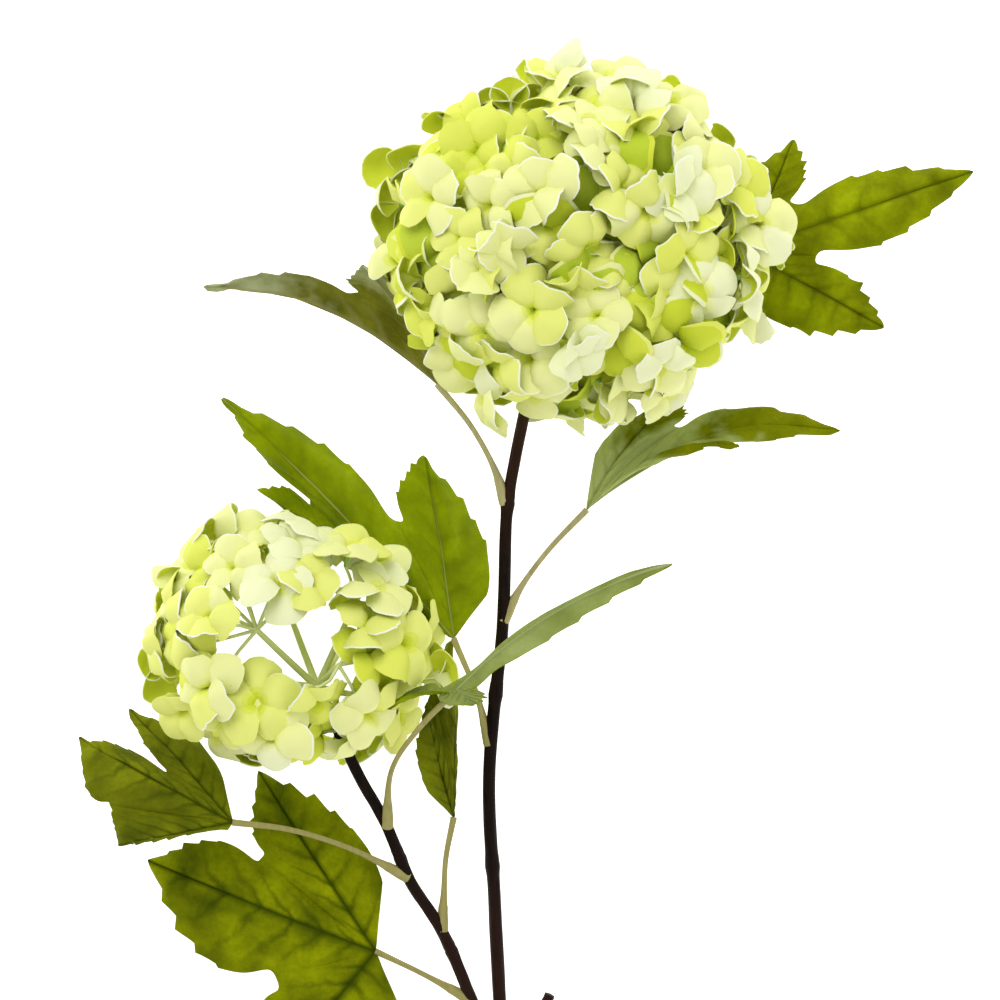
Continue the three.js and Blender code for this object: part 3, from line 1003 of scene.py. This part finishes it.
    def build(self) -> Piece:
        """The blade as a piece: both faces, and a rim round its edge."""
        flat, faces, prints, start = [], [], [], 0
        for grid, printed, flip in self.flat_lobes():
            rows, columns = grid.shape[:2]
            number = start + np.arange(rows * columns).reshape(rows, columns)
            quad = np.stack([number[:-1, :-1], number[:-1, 1:], number[1:, 1:], number[1:, :-1]], axis=-1)
            faces.append(quad.reshape(-1, 4)[:, :: -1 if flip else 1])
            flat.append(grid.reshape(-1, 2))
            prints.append(printed.reshape(-1, 3))
            start += rows * columns
        flat, prints, faces = np.vstack(flat), np.vstack(prints), np.vstack(faces)
        _, first, merged = np.unique(np.round(flat, 6), axis=0, return_index=True, return_inverse=True)
        flat, prints, faces = flat[first], prints[first], merged.reshape(-1)[faces]
        quads, triangles = unfolded(faces)
        middle = self.spread(flat)
        middle = middle + corner_normals(middle, quads, triangles) * self.relief(flat, prints)[:, None]
        shell = Shell(len(middle), quads, triangles)
        skin = Skin()
        skin.add(both_faces(middle, self.thickness, quads, triangles), [shell.four, shell.three],
                 [shell.side_of(quads, shell.rim), shell.side_of(triangles)])
        skin.prints = [prints, prints]
        return skin.piece(f"leaf_{self.name}", "blade", "leaf_fabric", [self.top.value, self.under.value])


def on_flat(angle: float, length: float) -> Array:
    """A place on a leaf laid flat, by its angle from the centre rib and its distance from the foot."""
    return np.array([math.sin(angle), math.cos(angle)]) * length


def from_foot(flat: Array) -> tuple[Array, Array]:
    """Each flat place's angle from the centre rib and its distance from the foot."""
    return np.arctan2(flat[:, 0], flat[:, 1]), np.hypot(flat[:, 0], flat[:, 1])


def unfolded(faces: Array) -> tuple[Array, Array]:
    """Sorts four-sided faces, some of which have two corners that are alike.

    Args:
        faces: the faces.

    Returns:
        Those that are truly four-sided, and the rest as three-sided ones.
    """
    alike = faces == np.roll(faces, -1, axis=1)
    folded = faces[alike.sum(axis=1) == 1]
    kept = ~alike[alike.sum(axis=1) == 1]
    return faces[~alike.any(axis=1)], folded[kept].reshape(-1, 3)


def corner_normals(corners: Array, *groups: Array) -> Array:
    """The normal at each corner, averaged over the faces round it by their area.

    Args:
        corners: the corners, one in each row.
        groups: arrays of faces that share a number of sides.

    Returns:
        The normals, one in each row.
    """
    total = np.zeros_like(corners)
    for faces in groups:
        last = faces.shape[1] - 1
        facing = np.cross(corners[faces[:, 2]] - corners[faces[:, 0]],
                          corners[faces[:, last]] - corners[faces[:, 1]])
        for i in range(faces.shape[1]):
            np.add.at(total, faces[:, i], facing)
    return unit(total)


def both_faces(sheet: Array, thickness: float, *groups: Array) -> Array:
    """The corners of a sheet's upper face and then of its lower one, by its middle and its faces."""
    normal = corner_normals(sheet, *groups) * thickness / 2
    return np.vstack([sheet + normal, sheet - normal])


class Shell:
    """The faces that close a thin sheet: its upper face, the same turned over below it, and a rim."""

    def __init__(self, count: int, quads: Array, triangles: Array) -> None:
        """Finds the sheet's open sides and closes them.

        Args:
            count: how many corners the sheet has; those of the lower face follow them.
            quads: its four-sided faces.
            triangles: its three-sided faces.
        """
        sides = np.vstack([np.stack([faces, np.roll(faces, -1, axis=1)], axis=-1).reshape(-1, 2)
                           for faces in (quads, triangles)])
        code = sides[:, 0] * count + sides[:, 1]
        edge = sides[~np.isin(code, sides[:, 1] * count + sides[:, 0])]
        self.rim = np.stack([edge[:, 1], edge[:, 0], edge[:, 0] + count, edge[:, 1] + count], axis=1)
        self.four = np.vstack([quads, quads[:, ::-1] + count, self.rim])
        self.three = np.vstack([triangles, triangles[:, ::-1] + count])

    @staticmethod
    def side_of(faces: Array, rim: Array | None = None) -> Array:
        """0 for each of the faces above, 1 for each of those below, and 0 for the rim's."""
        around = 0 if rim is None else len(rim)
        return np.repeat([0, 1, 0], [len(faces), len(faces), around])


# ---------------------------------------------------------------- flower heads


@dataclass
class PetalCut:
    """How a petal is cut and pressed: a round, domed blade on a narrow neck, with a frayed edge."""

    length: float = 0.0112
    half_width: float = 0.0057
    thickness: float = 0.00028
    sectors: int = 24
    rings: tuple[float, ...] = (0.13, 0.22, 0.34, 0.62, 0.98, 1.0)
    # steps greener for each ring from the neck: partly the cloth's dyed neck, partly painted shade in the
    # floret's throat
    greener: tuple[int, ...] = (3, 2, 1, 0, 0)
    fray: float = 0.00014
    fray_start: float = 0.25
    ruffle: float = 0.0005
    ruffle_start: float = 0.2
    curl_start: float = 0.45
    neck_angle: float = 0.35

    @cached_property
    def turn(self) -> Array:
        """The angle of each place round the outline, from one side of the neck to the other."""
        return np.linspace(-1, 1, self.sectors + 1) * (math.pi - self.neck_angle)

    @cached_property
    def faces(self) -> tuple[Array, Array]:
        """The four-sided and three-sided faces of the flat petal."""
        step = self.sectors + 1
        start = 1 + np.arange(self.sectors)
        row = start + np.arange(len(self.rings) - 1)[:, None] * step
        quads = np.stack([row, row + step, row + step + 1, row + 1], axis=-1)
        return quads.reshape(-1, 4), np.stack([np.zeros(self.sectors, int), start, start + 1], axis=1)

    @cached_property
    def shell(self) -> Shell:
        """The faces of the closed petal."""
        return Shell(1 + len(self.rings) * (self.sectors + 1), *self.faces)

    def finishes(self, tone: PetalTone, edge: int) -> list[Array]:
        """The finish of each face of the closed petal, greener towards its neck and on its underside,
        partly dye and partly painted shade.

        Args:
            tone: the tone of its upper face.
            edge: the number of its edge's finish.

        Returns:
            The finishes' numbers for its four-sided and its three-sided faces.
        """
        above = [tone.greener(steps).number for steps in self.greener] + [edge]
        # the underside's lime is partly its own colour, partly painted shade
        below = [PetalTone.UNDER.number] * len(self.greener) + [edge]
        rim = np.full(len(self.shell.rim), edge)
        four = [*np.repeat(above[1:] + below[1:], self.sectors), *rim]
        return [np.array(four), np.full(len(self.shell.three), above[0])]

    def sheet(self, dice: Dice, bow: float, cup: float, curl: float) -> Array:
        """The petal's middle surface, along x from its neck, with its upper face towards z.

        Args:
            dice: frays the edge and ruffles it.
            bow: how far it arches along its length, as a share of that.
            cup: how far its sides hang, as a share of its half-width.
            curl: how far its tip turns down, as a share of its length.

        Returns:
            The corners, from the neck outward.
        """
        along = (1 + np.cos(self.turn)) / 2
        across = np.sign(self.turn) * np.sin(math.pi * along**1.25) ** 0.55
        jag = dice.offsets(len(self.turn)) * (along > self.fray_start) * self.fray
        edge = np.stack([along * self.length + jag, across * (self.half_width + jag)], axis=1)
        flat = np.vstack([[[0, 0]], *(edge * ring for ring in self.rings)])
        x, y = flat[:, 0] / self.length, flat[:, 1] / self.half_width
        reach = np.concatenate([[0], np.repeat(self.rings, self.sectors + 1)])
        turn = np.concatenate([[0], np.tile(self.turn, len(self.rings))])
        phases = [dice.angle() for _ in range(2)]
        ruffle = np.sin(turn * 3 + phases[0]) * 0.5 + np.sin(turn * 5 + phases[1]) * 0.4
        curled = np.maximum(x - self.curl_start, 0) ** 2 * 3.3
        height = self.length * (bow * 4 * x * (1 - x) - curl * curled) - cup * self.half_width * y**2
        height += self.ruffle * ruffle * reach**3 * (x > self.ruffle_start)
        return np.column_stack([flat, height])


@dataclass
class Floret:
    """A floret of five pressed petals."""

    cut: PetalCut = field(default_factory=PetalCut)
    petals: int = 5
    pinwheel: float = 0.16
    base: float = 0.0003
    bows: Span = (0.2, 0.4)
    cups: Span = (0.4, 1.1)
    curls: Span = (0.0, 0.3)
    tilt: float = 0.42
    twist: float = 0.24
    aside: float = 0.12
    sizes: Span = (0.9, 1.07)
    usual: float = 0.72
    frayed: float = 0.55
    edge_steps: int = 3

    def add(self, skin: Skin, middle: Array, axes: Array, dice: Dice, opening: float, size: float,
            tones: Tints) -> None:
        """Adds a floret's petals to a skin.

        Args:
            skin: gathers the petals.
            middle: the floret's middle.
            axes: three directions in columns, the last along the floret's stalk.
            dice: varies the petals.
            opening: how far the petals are raised from flat, in radians.
            size: the floret's size, against the petal's cut.
            tones: the usual tint of the petals, and the rarer one.
        """
        spin = dice.angle()
        for number in range(self.petals):
            sheet = self.cut.sheet(dice, dice.between(*self.bows), dice.between(*self.cups),
                                   dice.between(*self.curls))
            sheet = sheet @ turned(0, self.pinwheel + dice.between(-self.twist, self.twist)).T
            sheet = sheet @ turned(1, -opening - dice.between(-self.tilt, self.tilt)).T
            sheet[:, 0] += self.base
            around = spin + number * FULL_TURN / self.petals + dice.between(-self.aside, self.aside)
            sheet = (sheet * size * dice.between(*self.sizes)) @ turned(2, around).T
            tone = tones[int(dice.roll() > self.usual)]
            edge = tone.paler(self.edge_steps) if dice.roll() < self.frayed else tone
            corners = both_faces(middle + sheet @ axes.T, self.cut.thickness, *self.cut.faces)
            corners[:, 2] = np.maximum(corners[:, 2], LOWEST)
            shell = self.cut.shell
            skin.add(corners, [shell.four, shell.three], self.cut.finishes(tone, edge.number))


def turned(axis: int, angle: float) -> Array:
    """A turn.

    Args:
        axis: 0, 1 or 2 for a turn about x, y or z.
        angle: how far, in radians.

    Returns:
        The turn as a matrix.
    """
    i, j = (axis + 1) % 3, (axis + 2) % 3
    turn = np.eye(3)
    turn[i, i] = turn[j, j] = math.cos(angle)
    turn[i, j], turn[j, i] = -math.sin(angle), math.sin(angle)
    return turn


@dataclass(frozen=True)
class Stalk:
    """A stalk, by its radius at its foot, its tip's share of that, its longest step and its sides."""

    radius: float
    tip: float
    spacing: float
    sides: int

    def add(self, skin: Skin, points: Array) -> None:
        """Adds the stalk to a skin, through points from its foot to its tip."""
        path = smooth_path(points, self.spacing)
        skin.add_tube(path, np.linspace(1.0, self.tip, len(path)) * self.radius, self.sides)


def axes_along(direction: Array) -> Array:
    """Three directions in columns, the last of them the given one."""
    helper = np.array([1.0, 0, 0]) if abs(direction[0]) < 0.8 else np.array([0, 1.0, 0])
    across = unit(np.cross(helper, direction))
    return np.column_stack([across, np.cross(direction, across), direction])


def spiral_direction(number: int, count: int) -> Array:
    """One of count even directions all round, by its number and the golden angle."""
    z = 1 - (2 * number + 1) / count
    ring = math.sqrt(1 - z * z)
    return np.array([ring * math.cos(number * GOLDEN_TURN), ring * math.sin(number * GOLDEN_TURN), z])


@dataclass
class Tier:
    """One layer of florets over a head, at a share of its reach."""

    florets: int
    reach: float
    size: float
    seed: int
    sink: float = 0.14
    stray: float = 0.0025
    openings: Span = (-0.3, 1.0)
    lean: float = 0.8
    cut: PetalCut = field(default_factory=PetalCut)
    tones: tuple[Tints, ...] = (
        (PetalTone.CREAM, PetalTone.FRESH), (PetalTone.FRESH, PetalTone.FRESH),
        (PetalTone.CREAM, PetalTone.PALE), (PetalTone.FRESH, PetalTone.CREAM))


@dataclass
class FlowerHead:
    """A round head of florets on green stalks that spread from the end of a woody stem.

    Its windows are the half-widths of the openings among the florets of its front and its back.
    """

    node: str
    centre: Place
    half_size: Place
    foot: Place
    peduncle: Route
    tiers: tuple[Tier, ...]
    stem: Stalk = Stalk(0.00145, 1.0, 0.001, 16)
    branch: Stalk = Stalk(0.00095, 0.72, 0.002, 10)
    stalk: Stalk = Stalk(0.00048, 0.8, 0.0035, 7)
    cup: float = 0.003
    clearance: float = 0.0045
    branches: int = 9
    branch_share: float = 0.55
    branch_rise: float = 0.0012
    stalk_bend: float = 0.001
    eye: tuple[Span, ...] = (
        (0.0004, -0.0024), (0.0006, -0.0012), (0.0009, -0.0003), (0.0007, 0.0003), (0.0003, 0.0006))
    eye_foot: float = 0.0022
    eye_sides: int = 8
    sizes: Span = (0.9, 1.1)
    # how many steps greener a floret turns per share that it has sunk: painted recess shade
    recess_shade_steps: float = 12.0
    window: Span = (0.0, 0.0)
    back_window: Span = (0.0, 0.0)
    petals: list[Skin] = field(default_factory=lambda: [Skin()])
    eyes: Skin = field(default_factory=Skin)
    stalks: Skin = field(default_factory=Skin)

    def build(self, others: KDTree) -> list[Piece]:
        """The head's pieces: petals in lots, eyes, and stalks.

        Args:
            others: places on the stems and leaves, which florets keep clear of.

        Returns:
            The new pieces.
        """
        forks = self._add_branches()
        for tier in self.tiers:
            for middle, dice in self._places(tier):
                if others.find(Vector(middle))[2] >= self.clearance:
                    self._add_floret(tier, middle, forks, dice)
        self.stem.add(self.stalks, metres(self.peduncle))
        tones = [tone.value for tone in PetalTone]
        parts = [(f"petals_{number}", skin, tones) for number, skin in enumerate(self.petals, 1)]
        parts += [("eyes", self.eyes, [EYE_GREEN]), ("stalks", self.stalks, [STALK_GREEN])]
        return [skin.piece(self.node, part, "petal_fabric", finishes) for part, skin, finishes in parts]

    def _add_branches(self) -> Array:
        """Adds the thick stalks that part from the stem's end.

        Returns:
            Their far ends, from which the florets' own stalks spread.
        """
        foot, centre, half = metres([self.foot, self.centre, self.half_size])
        rise = np.array([0, 0, self.branch_rise])
        forks = []
        for number in range(self.branches):
            direction = spiral_direction(number, self.branches)
            fork = foot + (centre + direction * half - foot) * self.branch_share
            bend = foot + (fork - foot) * 0.5 + rise
            self.branch.add(self.stalks, np.array([foot, bend, fork]))
            forks.append(fork)
        return np.array(forks)

    def _places(self, tier: Tier) -> list[tuple[Array, Dice]]:
        """Where each floret of a tier sits, by the rule that placed the solids' florets.

        Args:
            tier: the layer of florets.

        Returns:
            For each floret its middle and its own dice.
        """
        dice = Dice(tier.seed)
        centre, half = metres([self.centre, self.half_size])
        places = []
        for number in range(tier.florets):
            direction = spiral_direction(number, tier.florets)
            middle = centre + direction * (half * tier.reach - self.cup) * (1 - tier.sink * dice.roll())
            middle = middle + dice.offsets(3) * tier.stray
            window = self.window if middle[2] > centre[2] else self.back_window
            aside = np.abs((middle - centre)[:2]) / np.maximum(window, 1e-9)
            if np.hypot(*aside) > 1:
                places.append((middle, Dice(tier.seed * 1000 + number)))
        return places

    def _add_floret(self, tier: Tier, middle: Array, forks: Array, dice: Dice) -> None:
        """Adds one floret, its eye and its stalk.

        Args:
            tier: the floret's layer.
            middle: the floret's middle.
            forks: the ends of the branches, one of which carries it.
            dice: varies the floret.
        """
        outward = unit(middle - metres(self.centre))
        foot = forks[np.argmin(np.linalg.norm(forks - middle, axis=1))]
        axes = axes_along(unit(outward + dice.offsets(3) * tier.lean))
        tones = self._tones_with_recess_shade(tier, middle, dice)
        opening = dice.between(*tier.openings)
        size = tier.size * dice.between(*self.sizes)
        if self.petals[-1].triangles > FULL_PIECE:
            self.petals.append(Skin())
        Floret(tier.cut).add(self.petals[-1], middle, axes, dice, opening, size, tones)
        profile = np.array(self.eye)
        self.eyes.add_tube(middle + profile[:, 1:] * axes[:, 2], profile[:, 0], self.eye_sides)
        bend = foot + (middle - foot) * 0.5 + outward * self.stalk_bend
        self.stalk.add(self.stalks, np.array([foot, bend, middle - axes[:, 2] * self.eye_foot]))

    def _tones_with_recess_shade(self, tier: Tier, middle: Array, dice: Dice) -> Tints:
        """The tints of a floret's petals, greener the deeper it has sunk into its layer: painted shade for
        the head's recesses.

        Args:
            tier: the floret's layer.
            middle: the floret's middle.
            dice: picks its tints.

        Returns:
            The usual tint and the rarer one.
        """
        usual, rarer = tier.tones[int(dice.roll() * len(tier.tones))]
        centre, half = metres([self.centre, self.half_size])
        sunk = 1 - np.linalg.norm((middle - centre) / half) / tier.reach
        # painted shade: each step greener stands in for the lime shade deeper in the head
        steps = int(self.recess_shade_steps * max(0.0, sunk))
        return usual.greener(steps), rarer.greener(steps)


# ---------------------------------------------------------------- the spray and its studio


def the_stems() -> list[Stem]:
    """The three stems."""
    return [
        Stem("main_stem", MAIN_ROUTE, 0.00175, 0.00145, (0.13, 0.4, 0.62, 0.86), seed=3),
        Stem("side_stem", SIDE_ROUTE, 0.00155, 0.0014, (0.35, 0.62), swell=0.00025, swell_reach=0.002,
             seed=8),
        Stem("stem_stub", STUB_ROUTE, 0.0015, 0.00135, seed=12),
    ]


def the_leaves() -> list[Leaf]:
    """The eight leaves, from the large head down."""
    return [
        Leaf("upper_right", [(-0.5, 49, 39.8), (5, 49, 31), (14, 53, 16), (30, 68, 6), (46, 83, 7),
                             (55.5, 91.5, 12)],
             SideLobe((69, 119.5, 6), 0.34), (113.5, 111, 22), SideLobe((90.5, 71.5, 24), 0.32), (0, 0, 5),
             LeafTop.GOLDEN, bulge=0.1, seed=5),
        # its dusky olive faces are painted shade
        Leaf("upper_left", [(-4.8, 27, 35.8), (-7.5, 35.5, 37), (-13.5, 46.5, 38.5), (-22, 57, 40)],
             SideLobe((-41.5, 80, 49), 0.5), (-81, 81, 28), SideLobe((-73, 79, 10), 0.62), (1, 7, 2),
             LeafTop.DUSKY, LeafUnder.OLIVE, seed=7),
        Leaf("mid_right", [(-5.5, -2.5, 29.7), (-1, 6, 31), (6, 15.5, 33), (15.5, 25.5, 35)],
             SideLobe((40, 46, 22), 0.5), (79.5, 45.5, 28), SideLobe((54, 37.5, 38), 0.5), (-1, 7.5, 3),
             LeafTop.FOLDED, twist=0.4, bulge=0.18, seed=9),
        Leaf("mid_left", [(-8.8, -34, 23.5), (-10.5, -27, 24.2), (-12.5, -20, 24.8), (-18, -7, 25)],
             SideLobe((-67, 30, 18), 0.58, 0.05), (-76, 53.5, 34), SideLobe((-25.5, 38, 8), 0.42, 0.14),
             (0, 2, 3), LeafTop.MID, seed=11),
        Leaf("front_narrow", [(-34.8, -54.5, 26), (-33.5, -40, 34), (-26.5, -29, 44), (-18, -20, 51)],
             SideLobe((-11.5, -26, 52), 0.2, 0.16, 0.4), (36.5, 12, 52),
             SideLobe((-32.5, -28.5, 42), 0.12, 0.02), (-2, 4, 0), LeafTop.MID,
             bulge=0.01, wave=0.0005, tooth=0.024, droop=0.001, crease=0.0, seed=13),
        Leaf("hanging", [(-21, -81.5, 17.8), (-20.5, -72, 19), (-20, -63, 20), (-18, -52.5, 20)],
             SideLobe((-25.5, -25, 25), 0.78, 0.14, 0.26), (-18.5, -7.5, 20),
             SideLobe((-18.5, -25, 9), 0.78, 0.04, 0.06), (0, 0, 2), LeafTop.DEEP,
             bulge=0.07, seed=15, ear_turn=0.47),
        Leaf("lower_left", [(-29.5, -67.5, 22.3), (-44, -60, 27), (-59, -55, 31), (-73.5, -53, 33)],
             SideLobe((-101.5, -58.5, 37), 0.74, -0.02, 0.06), (-112.5, -32, 26),
             SideLobe((-100.5, -24.5, 12), 0.42, 0.2), (0, 0, 4), LeafTop.DEEP, bulge=0.14, seed=17),
        Leaf("bottom_left", [(-13.5, -99.5, 12.5), (-26.5, -92.5, 13), (-38, -87, 13)],
             SideLobe((-67, -122.5, 8), 0.42, 0.08), (-96, -64, 10), SideLobe((-68, -41, 8), 0.55, 0.12),
             (0, 0, 5), LeafTop.PANELLED, seed=19),
    ]


def the_heads() -> list[FlowerHead]:
    """The large and the small flower head."""
    # the coarse cut's rings are greener towards the neck too, partly dye and partly painted throat shade
    coarse = PetalCut(sectors=12, rings=(0.3, 0.62, 0.95, 1.0), greener=(3, 2, 2))
    # the deeper layer's greener tints are painted shade for the recesses seen between the outer florets
    deep_shaded_tints = ((PetalTone.LIME, PetalTone.INNER), (PetalTone.PALE, PetalTone.LIME))
    large = FlowerHead(
        "large_flower_head", (12, 91, 48.3), (53, 45.5, 47), (14.5, 92, 48.3),
        [(1, 55, 41), (4.5, 66, 43.5), (9, 78, 46), (14.5, 92, 48.3)],
        (Tier(156, 0.92, 0.93, 29, stray=0.0035),
         Tier(78, 0.79, 1.06, 31, openings=(0.0, 0.7), cut=coarse, tones=deep_shaded_tints)),
    )
    small = FlowerHead(
        "small_flower_head", (-58.5, -8, 32.63), (37, 31, 34), (-52, -19, 36),
        [(-48, -27.5, 34.5), (-50, -23, 35.2), (-52, -19, 36)],
        (Tier(90, 0.98, 0.9, 11, sink=0.12, openings=(-0.2, 0.7), lean=0.55),),
        stem=Stalk(0.0015, 1.0, 0.001, 16), window=(0.017, 0.0105), back_window=(0.030, 0.022),
    )
    return [large, small]


@dataclass
class Studio:
    """A pale floor, soft lights and the camera that looks down on the spray."""

    lens: float = 200.0
    sensor: float = 36.0
    eye: Place = (-6.25, 28, 1429)
    floor_size: float = 4.0
    floor_glow: float = 0.85
    sky: float = 0.66

    def build(self) -> None:
        """Makes the camera, the floor and the lights."""
        scene = bpy.context.scene
        camera = bpy.data.cameras.new("camera")
        camera.lens, camera.sensor_width = self.lens, self.sensor
        seen_from = bpy.data.objects.new("camera", camera)
        seen_from.location = metres(self.eye) + SPRAY_ORIGIN
        scene.collection.objects.link(seen_from)
        scene.camera = seen_from
        scene.view_settings.view_transform = "Standard"
        self._floor()
        self._light("key", (-0.35, 0.8, 1.2), 0.8, 7.8)
        self._light("fill", (0.75, -0.55, 1.0), 1.2, 2.0)
        world = bpy.data.worlds.new("studio")
        world.use_nodes = True
        sky = world.node_tree.nodes["Background"]
        sky.inputs["Color"].default_value = (1, 1, 1, 1)
        sky.inputs["Strength"].default_value = self.sky
        scene.world = world

    def _floor(self) -> None:
        """Makes the floor, just under the spray."""
        half = self.floor_size / 2
        mesh = bpy.data.meshes.new("floor")
        corners = [(-half, -half, 0), (half, -half, 0), (half, half, 0), (-half, half, 0)]
        mesh.from_pydata(corners, [], [(0, 1, 2, 3)])
        made = Nodes("floor_white")
        made.set(Base_Color=(0.97, 0.97, 0.97, 1), Emission_Color=(1, 1, 1, 1),
                 Emission_Strength=self.floor_glow, Roughness=made.spread(made.noise(0.05), 0.7, 0.85))
        mesh.materials.append(made.material)
        floor = bpy.data.objects.new("floor", mesh)
        bpy.context.scene.collection.objects.link(floor)

    def _light(self, name: str, place: Place, size: float, power: float) -> None:
        """Makes a square soft light that faces the spray.

        Args:
            name: the light's name.
            place: where it hangs, in metres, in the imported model's frame.
            size: the length of its sides.
            power: its power in watts.
        """
        lamp = bpy.data.lights.new(name, "AREA")
        lamp.size, lamp.energy = size, power
        light = bpy.data.objects.new(name, lamp)
        light.location = place
        light.rotation_euler = (-Vector(place)).to_track_quat("-Z", "Y").to_euler()
        bpy.context.scene.collection.objects.link(light)


def places_of(pieces: list[Piece]) -> KDTree:
    """The corners of some pieces, in the spray's own frame, ready to be searched.

    Args:
        pieces: the pieces.

    Returns:
        A tree of their corners.
    """
    tree = KDTree(sum(len(piece.data.vertices) for piece in pieces))
    for piece in pieces:
        for vertex in piece.data.vertices:
            tree.insert(vertex.co - Vector(SPRAY_ORIGIN), 0)
    tree.balance()
    return tree


def main() -> None:
    """Builds the studio and the spray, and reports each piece."""
    logging.basicConfig(level=logging.INFO, format="%(name)s: %(message)s")
    Studio().build()
    leaves = the_leaves()
    petioles = [Petiole(f"petiole_{leaf.name}", leaf.petiole) for leaf in leaves]
    pieces = [part.build() for part in (*the_stems(), *petioles, *leaves)]
    others = places_of(pieces)
    for head in the_heads():
        pieces += head.build(others)
    for piece in pieces:
        log.info("%s: %d faces", piece.name, len(piece.data.polygons))


if __name__ == "__main__":
    main()
